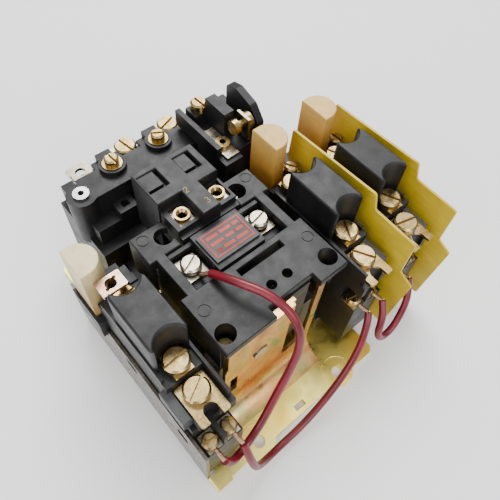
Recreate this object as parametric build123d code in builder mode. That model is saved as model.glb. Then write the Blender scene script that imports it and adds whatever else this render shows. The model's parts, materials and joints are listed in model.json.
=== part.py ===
"""Open magnetic motor starter: contactor, auxiliary contacts and three overload relays.

Millimetres. The origin is midway between the two lower mounting holes on the plate's back face,
+X to the right as mounted, +Y up towards the line terminals, +Z out of the panel.
"""
import os
from math import pi, radians, tan

from build123d import *

# ---------------------------------------------------------------- driving dimensions
PLATE_T = 1.6                 # mounting plate thickness
HOLE_SPACING = 46.0           # lower mounting holes, centre to centre
HOLE_R = 2.6                  # clearance hole for an M5 or No. 10 screw
PLATE_HALF = 43.5             # half width of the mounting plate
PLATE_TOP = 122.0             # upper edge of the mounting plate
EAR_X = 76.0                  # right end of the plate's ear, under the right-hand relays
COVER_TOP = 69.2              # front face of the coil cover
COVER_HALF = 27.0             # half width of the coil cover
COVER_LOW = 17.0              # lower edge of the coil cover
COIL_HALF = 20.0              # half width of the coil's head
COIL_LOW, COIL_HIGH = 41.6, 58.4
BLOCK_TOP = 62.0              # front face of the contact block
LINE_PITCH = 21.3             # line terminals
LINE_Y = 117.0
RELAY_X = (-38.5, 39.8, 64.4)  # centre lines of the three overload relays
RELAY_LIFT = (0.0, 2.5, 2.5)  # the right-hand relays stand on a higher bracket
RELAY_HALF = 7.8              # half width of a relay body
RELAY_BASE = 6.0              # underside of the left relay body
RELAY_END = 81.4              # upper end of every relay body
POST_TOP = (72.0, 79.5, 79.5)  # top of each reset post
POST_SPOT = ((-45.2, 73.3), (38.0, 71.3), (64.6, 71.5))  # centre of each post's round side
POST_R = 6.9                  # round side of a reset post
HEATER_Y = (28.7, 58.0)       # heater screws
LOAD_Y = 18.2                 # load terminal screw
TRIP_SPOT = ((0, 6.6), (-1, 12.4), (-1, 12.4))  # trip contacts: offset from the relay's centre line, and Y
HEAD_R, HEAD_H = 4.75, 3.2    # power screws
CLEAR = 0.1                   # gap round every screw shank
RESET_TRAVEL = 3.5            # reset post travel
RUN = 0.35                    # gap round a moving piece
BARRIER_T = 1.0
BARRIER_X = (52.1, 76.7)
WIRE_R = 1.5                  # hook-up wire over its insulation

os.makedirs("parts", exist_ok=True)


# ---------------------------------------------------------------- shared shapes
def block(x0, x1, y0, y1, z0, z1, mode=Mode.ADD):
    """A box between two corners."""
    with Locations(((x0 + x1) / 2, (y0 + y1) / 2, (z0 + z1) / 2)):
        Box(abs(x1 - x0), abs(y1 - y0), abs(z1 - z0), mode=mode)


def drum(x, y, z0, z1, radius, mode=Mode.ADD):
    """A cylinder standing along Z."""
    with Locations((x, y, (z0 + z1) / 2)):
        Cylinder(radius, z1 - z0, mode=mode)


def slotted_screw(x, y, top, turn, radius=HEAD_R, height=HEAD_H, shank_r=2.0, reach=8.0):
    """A slotted screw along Z with its head's top at the height top."""
    drum(x, y, top - height, top - 0.6, radius)
    with Locations((x, y, top - 0.3)):
        Cone(radius, radius - 0.7, 0.6)
    drum(x, y, top - height - reach, top - height, shank_r)
    with Locations(Location((x, y, top - 0.55), (0, 0, turn))):
        Box(2.2 * radius, 1.1, 1.1 + 0.02, mode=Mode.SUBTRACT)


def tube(x, y, z0, z1, outer, inner):
    """A ring standing along Z."""
    drum(x, y, z0, z1, outer)
    drum(x, y, z0 - 1, z1 + 1, inner, Mode.SUBTRACT)


def save(builder, name):
    """Label one finished piece and write it."""
    builder.part.label = name
    export_step(builder.part, f"parts/{name}.step")


# ---------------------------------------------------------------- mounting plate and brackets
with BuildPart() as base_plate:
    with BuildSketch(Plane.XY):
        with Locations((0, (PLATE_TOP - 3) / 2)):
            RectangleRounded(2 * PLATE_HALF, PLATE_TOP + 3, 3)
        for side in (-1, 1):
            with Locations((side * HOLE_SPACING / 2, 1.6)):
                Circle(8)
        with Locations(((PLATE_HALF + EAR_X) / 2 - 2, 51)):
            RectangleRounded(EAR_X - PLATE_HALF + 4, 62, 3)
        for side in (-1, 1):
            with Locations((side * HOLE_SPACING / 2, 0)):
                Circle(HOLE_R, mode=Mode.SUBTRACT)
        with Locations((0, 0)):
            Rectangle(5.4, 2.4, mode=Mode.SUBTRACT)
    extrude(amount=PLATE_T)
    block(-47.6, -40, -4.4, 1.7, PLATE_T, PLATE_T + 1.2)
    block(-47.6, -46.2, -4.4, 1.7, PLATE_T, 5.4)
    fillet(base_plate.edges().filter_by(Axis.Y).group_by(Axis.X)[0].sort_by(Axis.Z)[-1:], 0.5)
save(base_plate, "base_plate")

with BuildPart() as left_bracket:
    block(-47.8, -32, 6, 88, RELAY_BASE - 1.4, RELAY_BASE)
    block(-47.8, -46.6, 2, 92, PLATE_T, 38)
    block(-47.8, -38, 84, 88, PLATE_T, RELAY_BASE)
    block(-50, -46, 62, 93, 36 - RESET_TRAVEL, 40, Mode.SUBTRACT)
    for y, z in ((13, 24), (44, 30)):
        block(-50, -46, y, y + 6, z, z + 5, Mode.SUBTRACT)
save(left_bracket, "left_bracket")

with BuildPart() as right_bracket:
    low, high = PLATE_T, RELAY_BASE + RELAY_LIFT[1]
    block(30.5, 74, 22, 80, high - 1.4, high)
    block(30.5, 74, 22, 23.4, low, high)
    block(30.5, 74, 78.6, 80, low, high)
save(right_bracket, "right_bracket")

# ---------------------------------------------------------------- magnet, armature and coil
FRAME_Y = 18.8                # front wall of the plated magnet frame
FRAME_TOP = 65.6
SKIRT_Y = 8.6                 # edge of the skirt bent out over the plate
BEND = FRAME_Y - SKIRT_Y
BEND_Z = PLATE_T + 1.5 + BEND
with BuildPart() as magnet_frame:
    with BuildSketch(Plane.YZ.offset(-26)):
        with BuildLine():
            CenterArc((SKIRT_Y, BEND_Z), BEND, -90, 90)
            CenterArc((SKIRT_Y, BEND_Z), BEND + 1.5, -90, 90)
            Line((SKIRT_Y, PLATE_T), (SKIRT_Y, PLATE_T + 1.5))
            Polyline((FRAME_Y, BEND_Z), (FRAME_Y, FRAME_TOP), (FRAME_Y + 1.5, FRAME_TOP), (FRAME_Y + 1.5, BEND_Z))
        make_face()
    extrude(amount=46)
    block(-26, -24.8, FRAME_Y + 0.6, 76, 5, 14)
    block(18.8, 20, FRAME_Y + 0.6, 76, 5, 14)
    block(-26, 20, 74.8, 76, 5, 14)
    block(-26, 3, FRAME_Y - 1.4, FRAME_Y, 51.2, FRAME_TOP)
    block(-26, 3, FRAME_Y - 0.7, FRAME_Y, 46.8, 51.2)
    block(4.4, 16.6, FRAME_Y - 1, FRAME_Y + 2, 16, 80, Mode.SUBTRACT)
    block(-23.4, -20, FRAME_Y - 1, FRAME_Y + 2, 20, 34, Mode.SUBTRACT)
    for side in (-1, 1):
        drum(side * 22.9, 23.0, 54, 63, 3.7, Mode.SUBTRACT)
    with Locations(Location((-10, FRAME_Y + 0.75, 43), (90, 0, 0))):
        Cylinder(1.6, 4, mode=Mode.SUBTRACT)
save(magnet_frame, "magnet_frame")

with BuildPart() as frame_rivet:
    with Locations(Location((-10, FRAME_Y - 0.6, 43), (90, 0, 0))):
        Cylinder(3.4, 1.2)
    with Locations(Location((-10, FRAME_Y + 0.85, 43), (90, 0, 0))):
        Cylinder(1.5, 1.7)
save(frame_rivet, "frame_rivet")

CORE_Z = (14.0, 36.0)
with BuildPart() as magnet_core:
    block(-17.5, 17.5, 61, 74, *CORE_Z)
    for x0, x1 in ((-17.5, -14), (-4.5, 4.5), (14, 17.5)):
        block(x0, x1, 38.6, 61, *CORE_Z)
save(magnet_core, "magnet_core")

with BuildPart() as coil:
    block(-COIL_HALF, COIL_HALF, COIL_LOW, COIL_HIGH, 40, 63.6)
    block(-10.2, 10.2, COIL_LOW, COIL_HIGH, 63.6, 70.4)
    block(-COIL_HALF, COIL_HALF, COIL_HIGH - 1.6, COIL_HIGH, 63.6, 68.0)
    block(-13.6, 13.6, COIL_LOW + 0.4, COIL_HIGH - 0.4, 10, 40)
    block(-4.8, 4.8, COIL_LOW, COIL_HIGH, CORE_Z[0] - 0.3, CORE_Z[1] + 0.3, Mode.SUBTRACT)
    for side in (-1, 1):
        drum(side * 15.4, 51.1, 55, 64, 2.0 + CLEAR, Mode.SUBTRACT)
save(coil, "coil")

with BuildPart() as coil_label:
    block(-9.4, 9.4, 43.8, 56.2, 70.4, 71.4)
save(coil_label, "coil_label")

with BuildPart() as coil_plates:
    for side in (-1, 1):
        block(side * 15.4 - 4.6, side * 15.4 + 4.3, 46.2, 56.0, 63.6, 65.0)
        drum(side * 15.4, 51.1, 63, 66, 2.0 + CLEAR, Mode.SUBTRACT)
save(coil_plates, "coil_plates")

with BuildPart() as coil_screws:
    for side, turn in ((-1, 25), (1, 12)):
        slotted_screw(side * 15.4, 51.1, 68.4, turn, radius=3.8, height=2.6, reach=8)
save(coil_screws, "coil_screws")

ARM_X = 22.5                  # centre of each side arm of the contact carrier
with BuildPart() as armature:
    block(-24.5, 24.5, 24, 33, *CORE_Z)
    drum(0, 28.5, CORE_Z[0] - 1, CORE_Z[1] + 1, 1.6, Mode.SUBTRACT)
save(armature, "armature")

with BuildPart() as contact_carrier:
    for side in (-1, 1):
        block(side * ARM_X - 1.6, side * ARM_X + 1.6, 33, 98, 20, 28)
    block(-27, 27, 98, 103, 17, 31)
    for pole in (-1, 0, 1):
        block(pole * LINE_PITCH - 2, pole * LINE_PITCH + 2, 103, 105, 20, 28)
save(contact_carrier, "contact_carrier")

with BuildPart() as indicator_tab:
    block(-5, 13, 20.8, 24, 30, 65.4)
save(indicator_tab, "indicator_tab")

with BuildPart() as moving_contacts:
    for pole in (-1, 0, 1):
        x = pole * LINE_PITCH
        block(x - 3, x + 3, 105, 106.2, 15.4, 32.6)
        for z in (17.4, 30.6):
            with Locations(Location((x, 106.9, z), (90, 0, 0))):
                Cylinder(1.8, 1.4)
save(moving_contacts, "moving_contacts")

SPRING_X = LINE_PITCH / 2      # the return spring stands between two poles
with BuildPart() as return_spring:
    with BuildLine():
        coil_path = Helix(pitch=2.4, height=15.0, radius=3.0, center=(SPRING_X, 103.5, 24), direction=(0, 1, 0))
    with BuildSketch(Plane(origin=coil_path @ 0, z_dir=coil_path % 0)):
        Circle(0.45)
    sweep()
save(return_spring, "return_spring")

# ---------------------------------------------------------------- coil cover
SCREW_WELL = (22.9, 23.0)     # centre of each cover screw
NOTCH_R = 3.6
with BuildPart() as coil_cover:
    block(-COVER_HALF, COVER_HALF, COVER_LOW, 41.4, 66, COVER_TOP)
    block(-24.2, 24.2, 41.4, 58.6, 66, COVER_TOP)
    block(-COVER_HALF, COVER_HALF, 58.6, 71.3, 66, COVER_TOP)
    for side in (-1, 1):
        block(side * (COVER_HALF - 2), side * COVER_HALF, 20.6, 41.4, 50, 66)
        block(side * 22.2, side * 24.2, 41.4, 58.6, 50, 66)
        block(side * (COVER_HALF - 2), side * COVER_HALF, 58.6, 71.3, 50, 66)
        block(side * 18.6, side * COVER_HALF, 20.6, 29, 55.2, 66)
    block(-COIL_HALF - 0.3, COIL_HALF + 0.3, COIL_LOW - 0.4, COIL_HIGH + 0.4, 50, 80, Mode.SUBTRACT)
    block(-13.6, 13.6, COIL_HIGH, 75, 50, 80, Mode.SUBTRACT)
    for side in (-1, 1):
        x, y = side * SCREW_WELL[0], SCREW_WELL[1]
        drum(x, y, 57.2, 80, 3.6, Mode.SUBTRACT)
        drum(x, y, 50, 80, 1.8 + CLEAR, Mode.SUBTRACT)
        drum(side * 16.6, 65.1, 50, 80, NOTCH_R, Mode.SUBTRACT)
        block(side * 13.0, side * 16.6, 63.2, 67.0, 50, 80, Mode.SUBTRACT)
        with BuildSketch(Plane.XY.offset(COVER_TOP - 0.25)):
            for ring_x, ring_y in ((side * 23.2, 33.5), (side * 23.4, 68.0)):
                with Locations((ring_x, ring_y)):
                    Circle(2.3)
                    Circle(1.95, mode=Mode.SUBTRACT)
        extrude(amount=1, mode=Mode.SUBTRACT)
    for x in (0.2, 7.3):
        drum(x, 27.0, 60, 80, 1.9, Mode.SUBTRACT)
    block(-5.4, 14.2, 36.0, 38.6, 60, 80, Mode.SUBTRACT)
    block(-6.2, 14.0, COVER_LOW - 1, 21.4, 50, 80, Mode.SUBTRACT)
    chamfer(coil_cover.edges().filter_by(GeomType.LINE).group_by(Axis.Z)[-1], 0.3)
save(coil_cover, "coil_cover")

with BuildPart() as cover_screws:
    for side, turn in ((-1, 155), (1, 60)):
        slotted_screw(side * SCREW_WELL[0], SCREW_WELL[1], 59.8, turn, 3.3, 2.6, 1.8, 4)
save(cover_screws, "cover_screws")

# ---------------------------------------------------------------- front auxiliary block
EYES = ((-7.1, 67.0), (8.7, 67.2))  # the two round terminals
with BuildPart() as front_block:
    block(-12.6, 13.2, 59.2, 74, 59.0, 70.0)
    block(-13.2, 13.2, 72.4, 89, 50.0, 77.0)
    block(-3.0, 4.6, 59.6, 74, 70, 77.0)
    block(-12.6, 13.2, 61.4, 73, 70.0, 72.6)
    for x, y in EYES:
        block(x - 3.6, x + 3.6, y - 4.2, y + 4.4, 70.0, 74, Mode.SUBTRACT)
        drum(x, y, 60, 71, 1.9 + CLEAR, Mode.SUBTRACT)
    for left, right in ((-12.2, -4.2), (3.4, 10.2)):
        block(left, right, 77.8, 86.8, 74.2, 78, Mode.SUBTRACT)
        block(left, right - 1.6, 79.4, 86.8, 74.2, 76.4)
    chamfer(front_block.edges().filter_by(GeomType.LINE).group_by(Axis.Z)[-1], 0.3)
save(front_block, "front_block")

with BuildPart() as front_plates:
    for x, y in EYES:
        block(x - 3.4, x + 3.4, y - 4.0, y + 4.2, 70.0, 71.0)
        drum(x, y, 69, 72, 1.9 + CLEAR, Mode.SUBTRACT)
save(front_plates, "front_plates")

with BuildPart() as front_eyelets:
    for x, y in EYES:
        drum(x, y, 71.0, 72.8, 3.0)
        drum(x, y, 64.0, 71.0, 1.9)
        drum(x, y, 63.0, 73, 1.4, Mode.SUBTRACT)
        with Locations((x, y, 72.3)):
            Cone(1.4, 2.3, 1.2, mode=Mode.SUBTRACT)
save(front_eyelets, "front_eyelets")

# ---------------------------------------------------------------- contact block
BOSSES = ((-10.3, 109.6), (11.7, 109.6))
CORNER = (27.5, 104.7)
with BuildPart() as contact_block:
    block(-31.5, 31.5, 89, 124, PLATE_T, 41)
    block(-29.0, 22.0, 94, 124, 41, 50)
    block(-26.0, 26.0, 100, 116, 41, BLOCK_TOP)
    for side in (-1, 1):
        drum(side * CORNER[0], CORNER[1], 38, BLOCK_TOP, 6.0)
    for x, y in BOSSES:
        drum(x, y, 50, BLOCK_TOP + 2.2, 5.5)
        block(x - 3.4, x + 3.0, 110, 117.4, 50, BLOCK_TOP + 2.0)
    for x, y in BOSSES:
        drum(x, y, 50, 70, 1.7 + CLEAR, Mode.SUBTRACT)
        drum(x, y, BLOCK_TOP + 1.4, 70, 4.5, Mode.SUBTRACT)
    for side in (-1, 1):
        drum(side * CORNER[0], CORNER[1], 54, 70, 1.7 + CLEAR, Mode.SUBTRACT)
    block(-18.4, -10.4, 93.6, 100.2, 49, 54)
    drum(-14.2, 97.4, 51, 55, 1.7, Mode.SUBTRACT)
    block(-15.9, -12.5, 95.7, 97.4, 51, 55, Mode.SUBTRACT)
    for pole in (-1, 0, 1):
        x = pole * LINE_PITCH
        block(x - 5.6, x + 5.6, 112.4, 125, 58.4 if pole < 0 else 54.2, 60.5, Mode.SUBTRACT)
        block(x - 4.6, x + 4.6, 112.4, 125, 60, 70, Mode.SUBTRACT)
        drum(x, LINE_Y, 46, 56, 2.0 + CLEAR, Mode.SUBTRACT)
    block(-29.5, 29.5, 93, 119, 13, 35, Mode.SUBTRACT)
    for side in (-1, 1):
        block(side * ARM_X - 1.6 - RUN, side * ARM_X + 1.6 + RUN, 88, 94, 20 - RUN, 28 + RUN, Mode.SUBTRACT)
save(contact_block, "contact_block")

with BuildPart() as fixed_contacts:
    for pole in (-1, 0, 1):
        x = pole * LINE_PITCH
        for z in (17.4, 30.6):
            block(x - 3, x + 3, 113.8, 115, z - 2.4, z + 2.0)
            with Locations(Location((x, 113.2, z), (90, 0, 0))):
                Cylinder(1.8, 1.2)
            block(x - 3, x + 3, 115, 119, z - 2.4, z - 1.2)
save(fixed_contacts, "fixed_contacts")

with BuildPart() as line_terminals:
    for pole in (-1, 0, 1):
        x, floor, back = pole * LINE_PITCH, 54.2, 124.4
        if pole < 0:
            floor, back = 58.4, 121.2
        block(x - 4.6, x + 4.6, 112.6, back, floor, floor + 1.4)
        drum(x, LINE_Y, 50, 61, 2.0 + CLEAR, Mode.SUBTRACT)
save(line_terminals, "line_terminals")

with BuildPart() as line_screws:
    for pole, turn in ((0, 100), (1, 20)):
        slotted_screw(pole * LINE_PITCH, LINE_Y, 62.0, turn, 4.6, 3.6, 2.0, 10)
save(line_screws, "line_screws")

with BuildPart() as washers:
    for x, y in BOSSES:
        tube(x, y, BLOCK_TOP + 1.4, BLOCK_TOP + 2.4, 4.1, 1.7 + CLEAR)
    for pole in (0, 1):
        tube(pole * LINE_PITCH, LINE_Y, 55.6, 58.2, 4.6, 2.0 + CLEAR)
save(washers, "washers")

with BuildPart() as block_screws:
    for (x, y), turn in zip(BOSSES, (95, 150)):
        slotted_screw(x, y, BLOCK_TOP + 5.4, turn, 2.9, 3.0, 1.7, 10)
save(block_screws, "block_screws")

with BuildPart() as corner_rivets:
    for side in (-1, 1):
        tube(side * CORNER[0], CORNER[1], BLOCK_TOP, BLOCK_TOP + 1.2, 3.2, 1.2)
        tube(side * CORNER[0], CORNER[1], 55, BLOCK_TOP, 1.7, 1.2)
save(corner_rivets, "corner_rivets")

# ---------------------------------------------------------------- upper right auxiliary switch
AUX_FLOOR = 67.0
AUX_EYE = (28.1, 87.6)
with BuildPart() as aux_switch:
    block(22.6, 31.2, 78.5, 97, 43, AUX_FLOOR)
    block(22.6, 48, 82.2, 97, 43, AUX_FLOOR)
    block(22.6, 48, 82.2, 112, 64.0, AUX_FLOOR)
    block(22.6, 24.8, 84, 112, AUX_FLOOR, 71.5)
    block(31.4, 36.2, 90.8, 103, AUX_FLOOR, 79.4)
    with BuildSketch(Plane.YZ.offset(43.2)):
        with BuildLine():
            Polyline((84, AUX_FLOOR), (84, 73), (89, 79), (98, 81.5), (104, 80), (104, AUX_FLOOR), (84, AUX_FLOOR))
        make_face()
        fillet(vertices().sort_by(Axis.Y)[2:5], 2)
    extrude(amount=3.4)
    block(26.4, 34.8, 103, 110, AUX_FLOOR, 72.0)
    drum(30.6, 106.4, 60, 73, 1.7 + CLEAR, Mode.SUBTRACT)
    drum(*AUX_EYE, 60, 73, 1.8 + CLEAR, Mode.SUBTRACT)
    block(38.0, 39.6, 83.4, 90, AUX_FLOOR, AUX_FLOOR + 1.0)
save(aux_switch, "aux_switch")

with BuildPart() as aux_plates:
    block(24.9, 31.0, 80.5, 98.0, AUX_FLOOR, AUX_FLOOR + 1.1)
    drum(*AUX_EYE, 60, 73, 1.8 + CLEAR, Mode.SUBTRACT)
    block(37.6, 38.8, 83.4, 90.6, AUX_FLOOR + 1.0, 78.6)
    with Locations(Location((38.2, 87.2, 74.6), (0, 90, 0))):
        Cylinder(1.7 + CLEAR, 4, mode=Mode.SUBTRACT)
save(aux_plates, "aux_plates")

with BuildPart() as aux_eyelet:
    drum(*AUX_EYE, AUX_FLOOR + 1.1, AUX_FLOOR + 2.9, 3.0)
    drum(*AUX_EYE, 62, AUX_FLOOR + 1.1, 1.8)
    drum(*AUX_EYE, 61, AUX_FLOOR + 3.0, 1.3, Mode.SUBTRACT)
save(aux_eyelet, "aux_eyelet")

with BuildPart() as aux_screws:
    slotted_screw(30.6, 106.4, 76.0, 95, 3.4, 3.9, 1.7, 7)
    with Locations(Location((40.0, 87.2, 74.6), (0, 90, 0))):
        Cylinder(3.6, 2.4)
    with Locations(Location((36.0, 87.2, 74.6), (0, 90, 0))):
        Cylinder(1.7, 7.0)
    with Locations(Location((41.0, 87.2, 74.6), (40, 0, 0))):
        Box(1.0, 8, 1.0, mode=Mode.SUBTRACT)
    with Locations(Location((33.6, 87.2, 74.6), (0, 90, 0))):
        Cylinder(3.3, 2.2)
save(aux_screws, "aux_screws")


# ---------------------------------------------------------------- overload relays
def d_section(x, y, z, grow=0.0):
    """A reset post's section at height z: flat towards -X, round towards +X."""
    half_y = POST_R + grow
    left = x - 3.0 - grow
    with BuildSketch(Plane.XY.offset(z)) as section:
        with BuildLine():
            Polyline((x, y - half_y), (left, y - half_y), (left, y + half_y), (x, y + half_y))
            ThreePointArc((x, y + half_y), (x + half_y, y), (x, y - half_y))
        make_face()
    return section.sketch


SPRING_SHIFT = 2.5            # reset spring from the centre of its post's round side
for number, (x, lift, (px, py), (trip_x, trip_y)) in enumerate(zip(RELAY_X, RELAY_LIFT, POST_SPOT, TRIP_SPOT), start=1):
    tile_side = -1 if number == 1 else 1
    shelf = trip_y - 3.6
    with BuildPart() as relay_body:
        block(x - RELAY_HALF, x + RELAY_HALF, shelf, RELAY_END, RELAY_BASE + lift, 34 + lift)
        block(x - RELAY_HALF, x + RELAY_HALF, shelf + 8, RELAY_END, 34 + lift, 45 + lift)
        block(px - 4.2, px + 7.9, 62.8, RELAY_END, 34 + lift, 45 + lift)
        block(x - RELAY_HALF, x + RELAY_HALF, 9.6, 66.2, 45 + lift, 52.6 + lift)
        block(x - RELAY_HALF, x + RELAY_HALF, 23.6, 62.6, 52.6 + lift, 57.8 + lift)
        block(x + trip_x - 0.7, x + trip_x + 0.7, shelf, shelf + 8, 34 + lift, 43 + lift)
        for side in (-1, 1):
            rail_low = 26.4 if side == tile_side else 10.6
            block(x + side * 6.7, x + side * RELAY_HALF, rail_low, 60, 52.6 + lift, 59.4 + lift)
        if number == 1:
            block(x + 4.6, x + RELAY_HALF, 62.6, 66.2, 45, 58.6)
            block(x + 4.6, x + RELAY_HALF, 66.2, 72.0, 40, 56.0)
        else:
            block(px + 5.4, px + 11.2, 62.6, 69.4, 45 + lift, 55.6 + lift)
            drum(px + 8.7, 65.9, 50 + lift, 60 + lift, 1.6 + CLEAR, Mode.SUBTRACT)
        block(x + tile_side * 5.9, x + tile_side * 8.4, 9.6, 26.3, 45 + lift, 54 + lift, Mode.SUBTRACT)
        block(x - tile_side * 5.9, x - tile_side * 8.6, 8.6, 11.4, 46 + lift, 53 + lift)
        for side in (-1, 1):
            drum(x + trip_x + side * 4.1, trip_y, 24 + lift, 36 + lift, 1.6 + CLEAR, Mode.SUBTRACT)
        for y in HEATER_Y:
            drum(x, y, 46 + lift, 60 + lift, 2.0 + CLEAR, Mode.SUBTRACT)
        drum(x, LOAD_Y, 44 + lift, 56 + lift, 2.0 + CLEAR, Mode.SUBTRACT)
        drum(x, 10.6, 44 + lift, 60 + lift, 2.7, Mode.SUBTRACT)
        extrude(to_extrude=d_section(px, py, 30 + lift, RUN), amount=40, mode=Mode.SUBTRACT)
        drum(px + SPRING_SHIFT, py, 22 + lift, 32 + lift, 3.2, Mode.SUBTRACT)
    save(relay_body, f"relay_body_{number}")

    with BuildPart() as heater:
        with BuildSketch(Plane.XY.offset(59.6 + lift)):
            with Locations((x, 42.4)):
                RectangleRounded(14.2, 25.6, 2.2)
            for y in (HEATER_Y[0] - 0.6, HEATER_Y[1] - 0.6):
                with Locations((x, y)):
                    Circle(6.2, mode=Mode.SUBTRACT)
        extrude(amount=15.4)
        fillet(heater.faces().sort_by(Axis.Z)[-1].edges(), 0.9)
        block(x - 6.5, x + 6.5, 34.8, 50.2, 57.8 + lift, 61 + lift)
    save(heater, f"heater_{number}")

    with BuildPart() as load_terminal:
        with BuildSketch(Plane.XY.offset(52.6 + lift)):
            with Locations((x, 15.4)):
                RectangleRounded(11.6, 15.8, 1.0)
            with Locations((x, LOAD_Y)):
                Circle(2.0 + CLEAR, mode=Mode.SUBTRACT)
            with Locations((x, 10.6)):
                Circle(2.7, mode=Mode.SUBTRACT)
            with Locations((x, 8)):
                Rectangle(5.4, 5.2, mode=Mode.SUBTRACT)
        extrude(amount=1.4)
    save(load_terminal, f"load_terminal_{number}")

    with BuildPart() as reset_post:
        extrude(to_extrude=d_section(px, py, 37 + lift), amount=POST_TOP[number - 1] - 37 - lift)
        fillet(reset_post.edges().group_by(Axis.Z)[-1], 0.5)
    save(reset_post, f"reset_post_{number}")

    with BuildPart() as reset_spring:
        with BuildLine():
            spring_path = Helix(pitch=2.0, height=13.2, radius=2.3, center=(px + SPRING_SHIFT, py, 22.9 + lift))
        with BuildSketch(Plane(origin=spring_path @ 0, z_dir=spring_path % 0)):
            Circle(0.35)
        sweep()
    save(reset_spring, f"reset_spring_{number}")

with BuildPart() as heater_strips:
    for x, lift in zip(RELAY_X, RELAY_LIFT):
        for y in HEATER_Y:
            low, high = (23.8, 34.4) if y == HEATER_Y[0] else (50.6, 62.4)
            block(x - 3.6, x + 3.6, low, high, 57.8 + lift, 59.0 + lift)
            drum(x, y, 50 + lift, 62 + lift, 2.0 + CLEAR, Mode.SUBTRACT)
save(heater_strips, "heater_strips")

with BuildPart() as heater_screws:
    for x, lift, turn in zip(RELAY_X, RELAY_LIFT, (5, 62, 115)):
        for y in HEATER_Y:
            slotted_screw(x, y, 62.2 + lift, turn, radius=4.75 if y == HEATER_Y[0] else 4.4)
save(heater_screws, "heater_screws")

with BuildPart() as load_screws:
    for x, lift, turn in zip(RELAY_X, RELAY_LIFT, (30, 120, 165)):
        slotted_screw(x, LOAD_Y, 57.4 + lift, turn, height=3.4)
save(load_screws, "load_screws")

with BuildPart() as trip_plates:
    for relay_x, lift, (trip_x, trip_y) in zip(RELAY_X, RELAY_LIFT, TRIP_SPOT):
        for side in (-1, 1):
            x = relay_x + trip_x
            block(x + side * 0.9, x + side * 6.8, trip_y - 3.4, trip_y + 4, 34 + lift, 35.2 + lift)
            drum(x + side * 4.1, trip_y, 30 + lift, 40 + lift, 1.6 + CLEAR, Mode.SUBTRACT)
save(trip_plates, "trip_plates")

with BuildPart() as trip_screws:
    for relay_x, lift, (trip_x, trip_y) in zip(RELAY_X, RELAY_LIFT, TRIP_SPOT):
        for side in (-1, 1):
            slotted_screw(relay_x + trip_x + side * 4.1, trip_y, 37.8 + lift, 40 + 50 * side, 3.1, 2.6, 1.6, 8)
save(trip_screws, "trip_screws")

with BuildPart() as supply_tabs:
    with BuildSketch(Plane.XY.offset(64.6)):
        with Locations((-40.3, 62.6)):
            RectangleRounded(9.6, 6.8, 0.5)
            SlotOverall(6.4, 1.2, rotation=35, mode=Mode.SUBTRACT)
            Circle(2.1, mode=Mode.SUBTRACT)
    extrude(amount=1.4)
    block(-41, -36.4, 64.8, 66.0, 52.6, 64.6)
    for (px, py), lift in zip(POST_SPOT[1:], RELAY_LIFT[1:]):
        block(px + 6.4, px + 11.2, 62.8, 69.2, 55.6 + lift, 56.8 + lift)
        extrude(to_extrude=d_section(px, py, 50 + lift, RUN), amount=10, mode=Mode.SUBTRACT)
        drum(px + 8.7, 65.9, 50 + lift, 60 + lift, 1.6 + CLEAR, Mode.SUBTRACT)
save(supply_tabs, "supply_tabs")

with BuildPart() as supply_screws:
    for (px, py), lift, turn in zip(POST_SPOT[1:], RELAY_LIFT[1:], (120, 95)):
        slotted_screw(px + 8.7, 65.9, 59.6 + lift, turn, 2.9, 2.8, 1.6, 5)
save(supply_screws, "supply_screws")

with BuildPart() as id_tiles:
    for number, (x, lift) in enumerate(zip(RELAY_X, RELAY_LIFT), start=1):
        side = -1 if number == 1 else 1
        block(x + side * 6.0, x + side * 9.6, 13, 26.2, 45 + lift, 52.4 + lift)
    chamfer(id_tiles.edges().filter_by(Axis.Y), 0.3)
save(id_tiles, "id_tiles")

# ---------------------------------------------------------------- fibre barriers
BARRIER_OUTLINE = (
    (73.2, 57.4), (72.6, 73.6), (28.6, 75.2), (26.6, 68), (6.6, 67), (6.6, 48.4), (0, 45.4), (2.4, 9), (24, 9),
    (61, 55.6), (70, 55.2),
)
for number, x in enumerate(BARRIER_X, start=1):
    with BuildPart() as barrier:
        with BuildSketch(Plane.YZ.offset(x)):
            with BuildLine():
                Polyline(*BARRIER_OUTLINE, close=True)
            make_face()
            fillet(vertices(), 1.2)
        extrude(amount=BARRIER_T)
    save(barrier, f"barrier_{number}")


# ---------------------------------------------------------------- hook-up wires
COIL_LEAD = (
    (-13.4, 42.4, 70.6), (-12.2, 36.6, 74.4), (-9.8, 30.0, 76.4), (-6.5, 23.2, 76.6), (-4.2, 16.0, 75.0),
    (-3.4, 9.8, 70.0), (-5.0, 6.2, 62.0), (-10.2, 4.4, 52.4), (-17.6, 2.4, 42.6), (-24.6, 0.2, 34.8),
    (-31.0, -1.0, 29.4), (-36.6, -2.2, 29.6), (-41.2, -3.0, 33.0), (-42.6, -1.6, 36.6),
)
CROSS_LEAD = (
    (-34.4, -1.4, 36.6), (-34.8, -5.0, 32.4), (-34.4, -7.6, 25.4), (-32.4, -8.2, 16.6), (-27.6, -7.8, 9.0),
    (-19.0, -7.2, 5.4), (-7.0, -7.2, 6.4), (4.6, -6.4, 10.6), (14.2, -5.2, 17.0), (21.6, -3.6, 23.4),
    (27.0, -1.6, 29.6), (30.6, 0.8, 34.6), (33.2, 2.8, 37.6), (34.6, 4.4, 39.0),
)
JUMPER = (
    (43.0, 4.4, 39.0), (41.2, 1.4, 36.4), (38.4, -1.0, 33.0), (36.6, -2.4, 28.4), (37.8, -3.6, 24.0),
    (41.8, -4.2, 21.8), (46.4, -4.0, 23.2), (50.2, -3.0, 26.8), (53.4, -1.6, 31.0), (56.6, 0.6, 35.2),
    (59.3, 4.4, 39.0),
)


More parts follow.
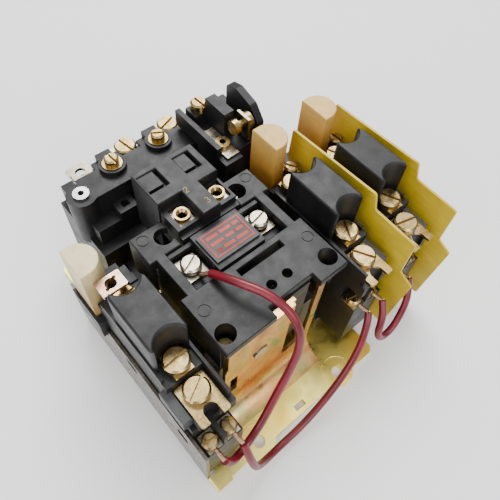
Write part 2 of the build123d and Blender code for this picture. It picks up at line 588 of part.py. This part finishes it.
def corner_radii(route):
    """The largest arc that each corner's two runs allow."""
    points = [Vector(*point) for point in route]
    radii = []
    for before, corner, after in zip(points, points[1:], points[2:]):
        arriving, leaving = corner - before, after - corner
        half_turn = arriving.get_angle(leaving) / 2
        shorter = min(arriving.length, leaving.length)
        radii.append(0.45 * shorter / tan(radians(half_turn)))
    return radii


wire_names = ("coil_lead", "cross_lead", "jumper_lead")
for name, route in zip(wire_names, (COIL_LEAD, CROSS_LEAD, JUMPER)):
    radii = corner_radii(route)
    print(name, "corner radii", [round(radius, 1) for radius in radii])
    with BuildPart() as wire:
        with BuildLine():
            path = FilletPolyline(*route, radius=radii)
        with BuildSketch(Plane(origin=path @ 0, z_dir=path % 0)):
            Circle(WIRE_R)
        sweep()
    print(name, "length", round(path.length, 1), "volume ratio", wire.part.volume / (path.length * pi * WIRE_R**2))
    save(wire, name)

with BuildPart() as wire_ends:
    for route, into in ((COIL_LEAD, (-14.6, 46.7, 65.6)), (COIL_LEAD[::-1], (-42.6, 3.4, 35.9)),
                        (CROSS_LEAD, (-34.4, 3.4, 35.9)), (CROSS_LEAD[::-1], (34.7, 9.2, 38.4)),
                        (JUMPER, (42.9, 9.2, 38.4)), (JUMPER[::-1], (59.3, 9.2, 38.4))):
        start, end = Vector(*route[0]), Vector(*into)
        away = end - start
        with BuildSketch(Plane(origin=start, z_dir=away)):
            Circle(0.9)
        extrude(amount=away.length)
save(wire_ends, "wire_ends")
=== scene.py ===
"""The open motor starter's looks: camera, light, hook-up wires, materials and fine pieces, in metres."""
import json
import math

import bpy
import bmesh
from mathutils import Matrix, Vector


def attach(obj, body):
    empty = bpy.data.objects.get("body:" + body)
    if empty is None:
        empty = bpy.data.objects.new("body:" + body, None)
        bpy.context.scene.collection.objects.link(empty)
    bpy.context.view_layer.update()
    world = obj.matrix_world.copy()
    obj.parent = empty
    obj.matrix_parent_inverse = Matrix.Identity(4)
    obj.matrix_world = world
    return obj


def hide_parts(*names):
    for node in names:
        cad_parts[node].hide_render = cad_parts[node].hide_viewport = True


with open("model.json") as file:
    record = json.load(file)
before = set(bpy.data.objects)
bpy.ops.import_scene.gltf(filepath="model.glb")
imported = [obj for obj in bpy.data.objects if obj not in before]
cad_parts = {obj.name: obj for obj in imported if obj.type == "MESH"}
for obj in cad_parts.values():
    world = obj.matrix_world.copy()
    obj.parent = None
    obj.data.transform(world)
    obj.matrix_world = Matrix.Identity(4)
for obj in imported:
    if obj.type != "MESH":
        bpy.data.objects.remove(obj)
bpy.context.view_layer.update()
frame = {"nodes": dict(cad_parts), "record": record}

MM = 0.001
CAMERA_AT = (-0.065, -0.026, 0.2184)
CAMERA_RIGHT = (0.75842, -0.64969, 0.05195)
CAMERA_DOWN = (-0.52583, -0.65702, -0.54021)
CAMERA_FORWARD = (0.38510, 0.38238, -0.83993)
FOCAL_SHARE = 1.02199    # focal length over the frame's width
SENSOR = 36.0
WIRE_D = 0.003
FLOOR_HALF = 3.0
FLOOR_Z = -0.0002         # just below the plate's back face
ROOT = "starter"


# ---------------------------------------------------------------- camera, floor and light
def make_camera():
    data = bpy.data.cameras.new("camera")
    data.sensor_width = SENSOR
    data.lens = SENSOR * FOCAL_SHARE
    data.clip_start = 0.005
    camera = bpy.data.objects.new("camera", data)
    right, down, forward = (Vector(v) for v in (CAMERA_RIGHT, CAMERA_DOWN, CAMERA_FORWARD))
    turn = Matrix((right, -down, -forward)).transposed()
    camera.matrix_world = Matrix.Translation(CAMERA_AT) @ turn.to_4x4()
    bpy.context.scene.collection.objects.link(camera)
    bpy.context.scene.camera = camera


def area_light(name, place, target, size, power):
    data = bpy.data.lights.new(name, "AREA")
    data.size, data.energy = size, power
    light = bpy.data.objects.new(name, data)
    light.location = place
    aim = Vector(target) - Vector(place)
    light.rotation_euler = aim.to_track_quat("-Z", "Y").to_euler()
    bpy.context.scene.collection.objects.link(light)


def make_stage():
    mesh = bpy.data.meshes.new("floor")
    half = FLOOR_HALF
    corners = [(x, y, FLOOR_Z) for x, y in ((-half, -half), (half, -half), (half, half), (-half, half))]
    mesh.from_pydata(corners, [], [(0, 1, 2, 3)])
    floor = bpy.data.objects.new("floor", mesh)
    bpy.context.scene.collection.objects.link(floor)
    paint = bpy.data.materials.new("floor_paper")
    paint.use_nodes = True
    nodes = paint.node_tree.nodes
    shader = nodes["Principled BSDF"]
    shader.inputs["Roughness"].default_value = 0.9
    grain = nodes.new("ShaderNodeTexNoise")
    grain.inputs["Scale"].default_value = 40
    ramp = nodes.new("ShaderNodeValToRGB")
    ramp.color_ramp.elements[0].color = (0.93, 0.93, 0.93, 1)
    ramp.color_ramp.elements[1].color = (0.96, 0.96, 0.96, 1)
    paint.node_tree.links.new(grain.outputs["Fac"], ramp.inputs["Fac"])
    paint.node_tree.links.new(ramp.outputs["Color"], shader.inputs["Base Color"])
    mesh.materials.append(paint)

    world = bpy.data.worlds.new("studio")
    bpy.context.scene.world = world
    world.use_nodes = True
    tree = world.node_tree
    axes = tree.nodes.new("ShaderNodeSeparateXYZ")
    tree.links.new(tree.nodes.new("ShaderNodeTexCoord").outputs["Generated"], axes.inputs["Vector"])
    sky = tree.nodes.new("ShaderNodeValToRGB")
    sky.color_ramp.elements[0].position, sky.color_ramp.elements[0].color = 0.05, (0.10, 0.10, 0.10, 1)
    sky.color_ramp.elements[1].position, sky.color_ramp.elements[1].color = 0.85, (1, 1, 1, 1)
    tree.links.new(axes.outputs["Z"], sky.inputs["Fac"])
    tree.links.new(sky.outputs["Color"], tree.nodes["Background"].inputs["Color"])
    tree.nodes["Background"].inputs["Strength"].default_value = 1.15
    middle = (0.01, 0.05, 0.03)
    area_light("key", (0.34, 0.46, 0.80), middle, 0.6, 10)
    area_light("fill", (-0.75, -0.10, 0.45), middle, 0.5, 3.5)
    area_light("front", (-0.10, -0.70, 0.60), middle, 0.5, 4)


make_camera()
make_stage()


# ---------------------------------------------------------------- materials
class Paint:
    """A node material under construction, with its shader and its object-space coordinates."""

    def __init__(self, name):
        self.material = bpy.data.materials.new(name)
        self.material.use_nodes = True
        self.tree = self.material.node_tree
        self.shader = self.tree.nodes["Principled BSDF"]
        self.place = self.tree.nodes.new("ShaderNodeTexCoord").outputs["Object"]

    def link(self, source, target):
        self.tree.links.new(source, target)

    def set(self, **values):
        for key, value in values.items():
            self.shader.inputs[key.replace("_", " ")].default_value = value

    def noise(self, scale, detail=3.0, roughness=0.6, distortion=0.0, stretch=None):
        node = self.tree.nodes.new("ShaderNodeTexNoise")
        node.inputs["Scale"].default_value = scale
        node.inputs["Detail"].default_value = detail
        node.inputs["Roughness"].default_value = roughness
        node.inputs["Distortion"].default_value = distortion
        source = self.place
        if stretch:
            mapping = self.tree.nodes.new("ShaderNodeMapping")
            mapping.inputs["Scale"].default_value = stretch
            self.link(self.place, mapping.inputs["Vector"])
            source = mapping.outputs["Vector"]
        self.link(source, node.inputs["Vector"])
        return node.outputs["Fac"]

    def ramp(self, source, stops):
        node = self.tree.nodes.new("ShaderNodeValToRGB")
        elements = node.color_ramp.elements
        while len(elements) < len(stops):
            elements.new(0.5)
        for element, (at, colour) in zip(elements, stops):
            element.position = at
            element.color = (*colour, 1) if len(colour) == 3 else colour
        self.link(source, node.inputs["Fac"])
        return node.outputs["Color"]

    def grey(self, source, low, high, start=0.3, end=0.7):
        node = self.tree.nodes.new("ShaderNodeMapRange")
        node.inputs["From Min"].default_value = start
        node.inputs["From Max"].default_value = end
        node.inputs["To Min"].default_value = low
        node.inputs["To Max"].default_value = high
        self.link(source, node.inputs["Value"])
        return node.outputs["Result"]

    def mix(self, factor, first, second, kind="MIX"):
        node = self.tree.nodes.new("ShaderNodeMix")
        node.data_type = "RGBA"
        node.blend_type = kind
        if isinstance(factor, float):
            node.inputs["Factor"].default_value = factor
        else:
            self.link(factor, node.inputs["Factor"])
        for value, socket in ((first, node.inputs[6]), (second, node.inputs[7])):
            if isinstance(value, tuple):
                socket.default_value = (*value, 1)
            else:
                self.link(value, socket)
        return node.outputs[2]

    def bump(self, source, strength, distance, under=None):
        node = self.tree.nodes.new("ShaderNodeBump")
        node.inputs["Strength"].default_value = strength
        node.inputs["Distance"].default_value = distance
        self.link(source, node.inputs["Height"])
        if under is not None:
            self.link(under, node.inputs["Normal"])
        self.link(node.outputs["Normal"], self.shader.inputs["Normal"])
        return node.outputs["Normal"]

    def colour(self, source):
        self.link(source, self.shader.inputs["Base Color"])

    def roughness(self, source):
        self.link(source, self.shader.inputs["Roughness"])


def moulded_plastic(name, dark, light, dust, rough=(0.34, 0.52), bump=0.25):
    """Moulded plastic: cloudy tone, fine speckle, pale dust and a finely uneven skin."""
    paint = Paint(name)
    cloud = paint.ramp(paint.noise(55, 4), [(0.3, dark), (0.72, light)])
    specks = paint.grey(paint.noise(1500, 2, 0.7), 0, 1, 0.66, 0.78)
    dusted = paint.mix(specks, cloud, dust)
    smear = paint.grey(paint.noise(130, 6, 0.65, 0.8), 0.0, 0.12, 0.5, 0.75)
    paint.colour(paint.mix(smear, dusted, dust))
    paint.set(Specular_IOR_Level=0.35)
    paint.roughness(paint.grey(paint.noise(210, 5), rough[0], rough[1]))
    skin = paint.bump(paint.noise(2600, 2), bump, 0.00004)
    paint.bump(paint.noise(160, 3), 0.15, 0.0003, skin)
    return paint.material


def worn_metal(name, tones, stain, rough=(0.16, 0.42), scratch=0.3):
    """Bare or plated metal: uneven tone, tarnish in patches and fine scratches."""
    paint = Paint(name)
    paint.set(Metallic=1.0)
    base = paint.ramp(paint.noise(120, 5, 0.6, 0.4), list(zip((0.3, 0.52, 0.74), tones)))
    tarnish = paint.grey(paint.noise(330, 6, 0.7, 0.5), 0.0, 0.65, 0.52, 0.74)
    paint.colour(paint.mix(tarnish, base, stain))
    paint.roughness(paint.grey(paint.noise(420, 5), rough[0], rough[1]))
    lines = paint.bump(paint.noise(220, 3, stretch=(1.0, 14.0, 1.0)), scratch, 0.00006)
    paint.bump(paint.noise(1400, 3), 0.25, 0.00003, lines)
    return paint.material


def dichromate_steel(name, tones, film_tones, scale, rough):
    """Yellow dichromate plating, gold with pink and green interference patches."""
    paint = Paint(name)
    paint.set(Metallic=1.0)
    base = paint.ramp(paint.noise(scale, 2, 0.5, 1.2), tones)
    film = paint.ramp(paint.noise(3 * scale, 4, 0.6, 0.8), film_tones)
    paint.colour(paint.mix(0.8, base, film, "MULTIPLY"))
    paint.roughness(paint.grey(paint.noise(240, 5), *rough))
    paint.bump(paint.noise(90, 3), 0.08, 0.0003)
    return paint.material


def reset_plastic(name, top, shade_and_vein_colour, low, high):
    """Cast resin of a reset post, with painted shade: pale at the lit top, darker further down where shade
    falls.
    """
    paint = Paint(name)
    axes = paint.tree.nodes.new("ShaderNodeSeparateXYZ")
    paint.link(paint.place, axes.inputs["Vector"])
    height = paint.grey(axes.outputs["Z"], 0, 1, low, high)
    middle = tuple(0.4 * a + 0.6 * b for a, b in zip(top, shade_and_vein_colour))
    # painted shade: the colour runs from the lit top down to the shaded foot of the post
    tone = paint.ramp(height, [(0.0, shade_and_vein_colour), (0.6, middle), (0.985, top)])
    veins = paint.grey(paint.noise(300, 5, 0.6, 0.6), 0, 0.35, 0.45, 0.75)
    paint.colour(paint.mix(veins, tone, shade_and_vein_colour))
    paint.set(Subsurface_Weight=0.2, Subsurface_Scale=0.002)
    paint.roughness(paint.grey(paint.noise(260, 4), 0.28, 0.46))
    paint.bump(paint.noise(700, 4), 0.2, 0.00006)
    return paint.material


def fibre_sheet():
    """Varnished fibre sheet: olive yellow, mottled, a little see-through."""
    paint = Paint("varnished_fibre")
    tones = [(0.3, (0.56, 0.38, 0.012)), (0.7, (0.78, 0.56, 0.03))]
    mottled = paint.ramp(paint.noise(60, 5, 0.65, 0.4), tones)
    strands = paint.grey(paint.noise(400, 3, stretch=(1, 0.2, 3)), 0, 0.4, 0.45, 0.75)
    paint.colour(paint.mix(strands, mottled, (0.38, 0.26, 0.02)))
    paint.set(Transmission_Weight=0.12, IOR=1.5)
    paint.roughness(paint.grey(paint.noise(200, 4), 0.3, 0.5))
    paint.bump(paint.noise(900, 3), 0.25, 0.00005)
    return paint.material


def wire_insulation():
    """Extruded red insulation, darker and scuffed in places."""
    paint = Paint("red_insulation")
    tone = paint.ramp(paint.noise(90, 4), [(0.3, (0.09, 0.002, 0.008)), (0.7, (0.20, 0.005, 0.018))])
    scuff = paint.grey(paint.noise(700, 4, 0.7), 0, 0.3, 0.6, 0.75)
    paint.colour(paint.mix(scuff, tone, (0.28, 0.04, 0.06)))
    paint.roughness(paint.grey(paint.noise(300, 4), 0.28, 0.42))
    paint.bump(paint.noise(1100, 3), 0.15, 0.00005)
    return paint.material


def laminated_steel():
    """Stacked steel sheets seen on edge."""
    paint = Paint("laminated_steel")
    paint.set(Metallic=0.8)
    wave = paint.tree.nodes.new("ShaderNodeTexWave")
    wave.bands_direction = "Z"
    wave.inputs["Scale"].default_value = 420
    wave.inputs["Distortion"].default_value = 1.2
    paint.link(paint.place, wave.inputs["Vector"])
    paint.colour(paint.ramp(wave.outputs["Fac"], [(0.2, (0.09, 0.085, 0.08)), (0.8, (0.30, 0.29, 0.28))]))
    paint.roughness(paint.grey(paint.noise(300, 4), 0.35, 0.6))
    paint.bump(wave.outputs["Fac"], 0.4, 0.0001)
    return paint.material


materials = {
    "gold_plated_steel": dichromate_steel(
        "bright_plating",
        [(0.28, (0.96, 0.68, 0.13)), (0.45, (1.0, 0.84, 0.20)), (0.6, (1.0, 0.90, 0.30)),
         (0.78, (0.98, 0.72, 0.18))],
        [(0.42, (1, 1, 1)), (0.62, (1.0, 0.88, 0.70)), (0.74, (0.90, 0.98, 0.70))], 24, (0.26, 0.42)),
    "zinc_steel": worn_metal(
        "zinc_plate", ((0.42, 0.42, 0.42), (0.55, 0.55, 0.55), (0.66, 0.66, 0.65)), (0.25, 0.24, 0.22)),
    "laminated_steel": laminated_steel(),
    "black_phenolic": moulded_plastic(
        "black_phenolic", (0.005, 0.005, 0.0055), (0.012, 0.012, 0.013), (0.07, 0.068, 0.062)),
    "red_print": moulded_plastic(
        "label_card", (0.03, 0.03, 0.032), (0.05, 0.05, 0.052), (0.14, 0.13, 0.12)),
    "nickel": worn_metal(
        "nickel_plate", ((0.32, 0.28, 0.21), (0.42, 0.38, 0.30), (0.50, 0.46, 0.39)), (0.18, 0.13, 0.075)),
    "brass": worn_metal(
        "worn_brass", ((0.32, 0.22, 0.08), (0.44, 0.32, 0.14), (0.54, 0.42, 0.22)), (0.16, 0.095, 0.035)),
    "copper": worn_metal(
        "tinned_copper", ((0.40, 0.24, 0.15), (0.58, 0.38, 0.27), (0.66, 0.52, 0.42)), (0.22, 0.11, 0.06)),
    "spring_steel": worn_metal(
        "spring_wire", ((0.35, 0.35, 0.36), (0.45, 0.45, 0.46), (0.6, 0.6, 0.6)), (0.2, 0.18, 0.16)),
    "white_post": reset_plastic("cream_resin", (0.78, 0.68, 0.38), (0.42, 0.28, 0.10), 0.046, 0.0722),
    "amber_post": reset_plastic("amber_resin", (0.68, 0.44, 0.12), (0.44, 0.17, 0.010), 0.052, 0.0797),
    "grey_tile": moulded_plastic("grey_tile", (0.05, 0.052, 0.055), (0.08, 0.082, 0.085), (0.2, 0.2, 0.19)),
    "fibre": fibre_sheet(),
    "red_insulation": wire_insulation(),
}
own_look = {
    "magnet_frame": dichromate_steel(
        "banded_plating",
        [(0.26, (0.40, 0.17, 0.08)), (0.40, (0.70, 0.38, 0.15)), (0.5, (0.80, 0.54, 0.22)),
         (0.6, (0.38, 0.44, 0.18)), (0.72, (0.66, 0.28, 0.28)), (0.84, (0.74, 0.56, 0.42))],
        [(0.40, (1, 1, 1)), (0.56, (1.0, 0.76, 0.62)), (0.70, (0.74, 0.92, 0.58))], 32, (0.22, 0.42)),
    "left_bracket": worn_metal(
        "bracket_plating",
        ((0.10, 0.09, 0.075), (0.15, 0.135, 0.11), (0.22, 0.20, 0.16)), (0.05, 0.04, 0.03)),
}
for part in frame["record"]["subparts"]:
    mesh = frame["nodes"][part["node"]].data
    mesh.materials.clear()
    mesh.materials.append(own_look.get(part["node"], materials[part["material_slot"]]))


# ---------------------------------------------------------------- hook-up wires
COIL_LEAD = (
    (-13.4, 42.4, 70.6), (-12.2, 36.6, 74.4), (-9.8, 30.0, 76.4), (-6.5, 23.2, 76.6), (-4.2, 16.0, 75.0),
    (-3.4, 9.8, 70.0), (-5.0, 6.2, 62.0), (-10.2, 4.4, 52.4), (-17.6, 2.4, 42.6), (-24.6, 0.2, 34.8),
    (-31.0, -1.0, 29.4), (-36.6, -2.2, 29.6), (-41.2, -3.0, 33.0), (-42.6, -1.6, 36.6),
)
CROSS_LEAD = (
    (-34.4, -1.4, 36.6), (-34.8, -5.0, 32.4), (-34.4, -7.6, 25.4), (-32.4, -8.2, 16.6), (-27.6, -7.8, 9.0),
    (-19.0, -7.2, 5.4), (-7.0, -7.2, 6.4), (4.6, -6.4, 10.6), (14.2, -5.2, 17.0), (21.6, -3.6, 23.4),
    (27.0, -1.6, 29.6), (30.6, 0.8, 34.6), (33.2, 2.8, 37.6), (34.6, 4.4, 39.0),
)
JUMPER = (
    (43.0, 4.4, 39.0), (41.2, 1.4, 36.4), (38.4, -1.0, 33.0), (36.6, -2.4, 28.4), (37.8, -3.6, 24.0),
    (41.8, -4.2, 21.8), (46.4, -4.0, 23.2), (50.2, -3.0, 26.8), (53.4, -1.6, 31.0), (56.6, 0.6, 35.2),
    (59.3, 4.4, 39.0),
)


def make_wire(name, node, route):
    """A round wire along the route, standing for one CAD wire."""
    data = bpy.data.curves.new(name, "CURVE")
    data.dimensions = "3D"
    data.bevel_depth = WIRE_D / 2
    data.bevel_resolution = 6
    data.use_fill_caps = True
    data.resolution_u = 12
    spline = data.splines.new("NURBS")
    spline.points.add(len(route) - 1)
    for point, place in zip(spline.points, route):
        point.co = (*(MM * value for value in place), 1)
    spline.order_u = 3
    spline.use_endpoint_u = True
    wire = bpy.data.objects.new(name, data)
    bpy.context.scene.collection.objects.link(wire)
    data.materials.append(materials["red_insulation"])
    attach(wire, ROOT)
    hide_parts(node)


make_wire("coil_wire", "coil_lead", COIL_LEAD)
make_wire("cross_wire", "cross_lead", CROSS_LEAD)
make_wire("jumper_wire", "jumper_lead", JUMPER)


# ---------------------------------------------------------------- fine pieces
def add_piece(name, mesh, paint, body=ROOT):
    """Put one mesh in the scene, in millimetres, riding on a body."""
    mesh.transform(Matrix.Scale(MM, 4))
    mesh.materials.append(paint)
    piece = bpy.data.objects.new(name, mesh)
    bpy.context.scene.collection.objects.link(piece)
    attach(piece, body)
    return piece


def bevelled_boxes(name, boxes, bevel):
    """Rounded bars, one between each pair of corners."""
    shape = bmesh.new()
    for low, high in boxes:
        middle = Vector((a + b) / 2 for a, b in zip(low, high))
        size = Matrix.Diagonal([b - a for a, b in zip(low, high)] + [1])
        bmesh.ops.create_cube(shape, size=1, matrix=Matrix.Translation(middle) @ size)
    bmesh.ops.bevel(shape, geom=shape.edges[:], offset=bevel, segments=2, profile=0.6, affect="EDGES")
    mesh = bpy.data.meshes.new(name)
    shape.to_mesh(mesh)
    shape.free()
    return mesh


def swept_tubes(name, paths, radius, sides=10):
    """Closed round tubes along lists of points."""
    vertices, faces = [], []
    for path in paths:
        points = [Vector(point) for point in path]
        first = len(vertices)
        across = None
        for index, point in enumerate(points):
            along = (points[min(index + 1, len(points) - 1)] - points[max(index - 1, 0)]).normalized()
            if across is None:
                across = along.orthogonal().normalized()
            across = (across - along * across.dot(along)).normalized()
            up = along.cross(across)
            for side in range(sides):
                turn = 2 * math.pi * side / sides
                vertices.append(point + radius * (math.cos(turn) * across + math.sin(turn) * up))
        for index in range(len(points) - 1):
            ring = first + index * sides
            for side in range(sides):
                after = (side + 1) % sides
                faces.append((ring + side, ring + after, ring + sides + after, ring + sides + side))
        faces.append(tuple(first + side for side in reversed(range(sides))))
        last = first + (len(points) - 1) * sides
        faces.append(tuple(last + side for side in range(sides)))
    mesh = bpy.data.meshes.new(name)
    mesh.from_pydata(vertices, [], faces)
    mesh.polygons.foreach_set("use_smooth", [len(face.vertices) == 4 for face in mesh.polygons])
    return mesh


def arc(x, y, z, radius, start, end, steps=28):
    """Points on a level arc, its angles in degrees."""
    points = []
    for step in range(steps + 1):
        turn = math.radians(start + (end - start) * step / steps)
        points.append((x + radius * math.cos(turn), y + radius * math.sin(turn), z))
    return points


# the coil label: a plain printed frame and blank bars on the card
LABEL_TOP = 71.4
ROWS = ((53.2, ((-7.0, -2.2), (-1.2, 3.6), (4.4, 7.0))), (50.4, ((-7.0, -1.6), (-0.6, 3.0), (4.0, 7.0))),
        (47.4, ((-3.6, 1.0), (2.0, 7.0))))
label_bars = [((-8.4, 45.0, LABEL_TOP - 0.1), (8.4, 45.6, LABEL_TOP + 0.12)),
              ((-8.4, 54.9, LABEL_TOP - 0.1), (8.4, 55.5, LABEL_TOP + 0.12)),
              ((-8.4, 45.6, LABEL_TOP - 0.1), (-7.8, 54.9, LABEL_TOP + 0.12)),
              ((7.8, 45.6, LABEL_TOP - 0.1), (8.4, 54.9, LABEL_TOP + 0.12))]
for row, spans in ROWS:
    for left, right in spans:
        label_bars.append(((left, row - 0.7, LABEL_TOP - 0.1), (right, row + 0.7, LABEL_TOP + 0.1)))
RED_INK = moulded_plastic(
    "red_ink", (0.34, 0.030, 0.018), (0.52, 0.06, 0.035), (0.30, 0.10, 0.07), (0.4, 0.6))
add_piece("label_print", bevelled_boxes("label_print", label_bars, 0.03), RED_INK)
dot = [arc(-5.6, 47.4, LABEL_TOP + 0.02, radius, 0, 352) for radius in (0.9, 0.45)]
add_piece("label_dot", swept_tubes("label_dot", dot, 0.16, 8), RED_INK)

# terminal numbers on the front block
STEM_TOP = 77.0
TWO = ((0, 1.7), (0.25, 2.2), (0.8, 2.4), (1.3, 2.1), (1.35, 1.6), (0.9, 0.95), (0.1, 0.1), (0.05, 0),
       (1.45, 0))
THREE = ((0.05, 2.1), (0.6, 2.4), (1.2, 2.2), (1.35, 1.75), (1.1, 1.35), (0.65, 1.25), (1.2, 1.1),
         (1.45, 0.65), (1.2, 0.15), (0.6, 0), (0, 0.3))
numerals = [[(x + a, y + b, STEM_TOP + 0.03) for a, b in shape]
            for x, y, shape in ((-2.2, 70.5, TWO), (1.0, 62.3, THREE))]
GOLD_INK = moulded_plastic("gold_ink", (0.30, 0.22, 0.08), (0.46, 0.36, 0.16), (0.2, 0.17, 0.12))
add_piece("terminal_numbers", swept_tubes("terminal_numbers", numerals, 0.17, 8), GOLD_INK)

# pressed ridges on the mounting plate
RIDGE_Z = 1.62
ridges = [arc(x, 0, RIDGE_Z, 7.2, start, start + 135) for x, start in ((-23.0, 25), (23.0, 20))]
ridge_mesh = swept_tubes("plate_ridges", ridges, 0.28, 10)
add_piece("plate_ridges", ridge_mesh, materials["gold_plated_steel"])


# twisted strands of the stripped wire ends
def strands(start, end, turns=1.6, steps=18):
    """One straight core and six strands wound round it, between two points."""
    start, end = Vector(start), Vector(end)
    along = (end - start).normalized()
    across = along.orthogonal().normalized()
    up = along.cross(across)
    paths = [[tuple(start), tuple(end)]]
    for strand in range(6):
        phase = 2 * math.pi * strand / 6
        path = []
        for step in range(steps + 1):
            share = step / steps
            turn = phase + 2 * math.pi * turns * share
            outward = math.cos(turn) * across + math.sin(turn) * up
            path.append(tuple(start.lerp(end, share) + 0.58 * outward))
        paths.append(path)
    return paths


ENDS = ((COIL_LEAD[0], (-14.6, 46.7, 65.6)), (COIL_LEAD[-1], (-42.6, 3.4, 35.9)),
        (CROSS_LEAD[0], (-34.4, 3.4, 35.9)), (CROSS_LEAD[-1], (34.7, 9.2, 38.4)),
        (JUMPER[0], (42.9, 9.2, 38.4)), (JUMPER[-1], (59.3, 9.2, 38.4)))
end_paths = [path for start, end in ENDS for path in strands(start, end)]
end_mesh = swept_tubes("twisted_ends", end_paths, 0.3, 8)
twisted = add_piece("twisted_ends", end_mesh, materials["copper"])
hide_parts("wire_ends")
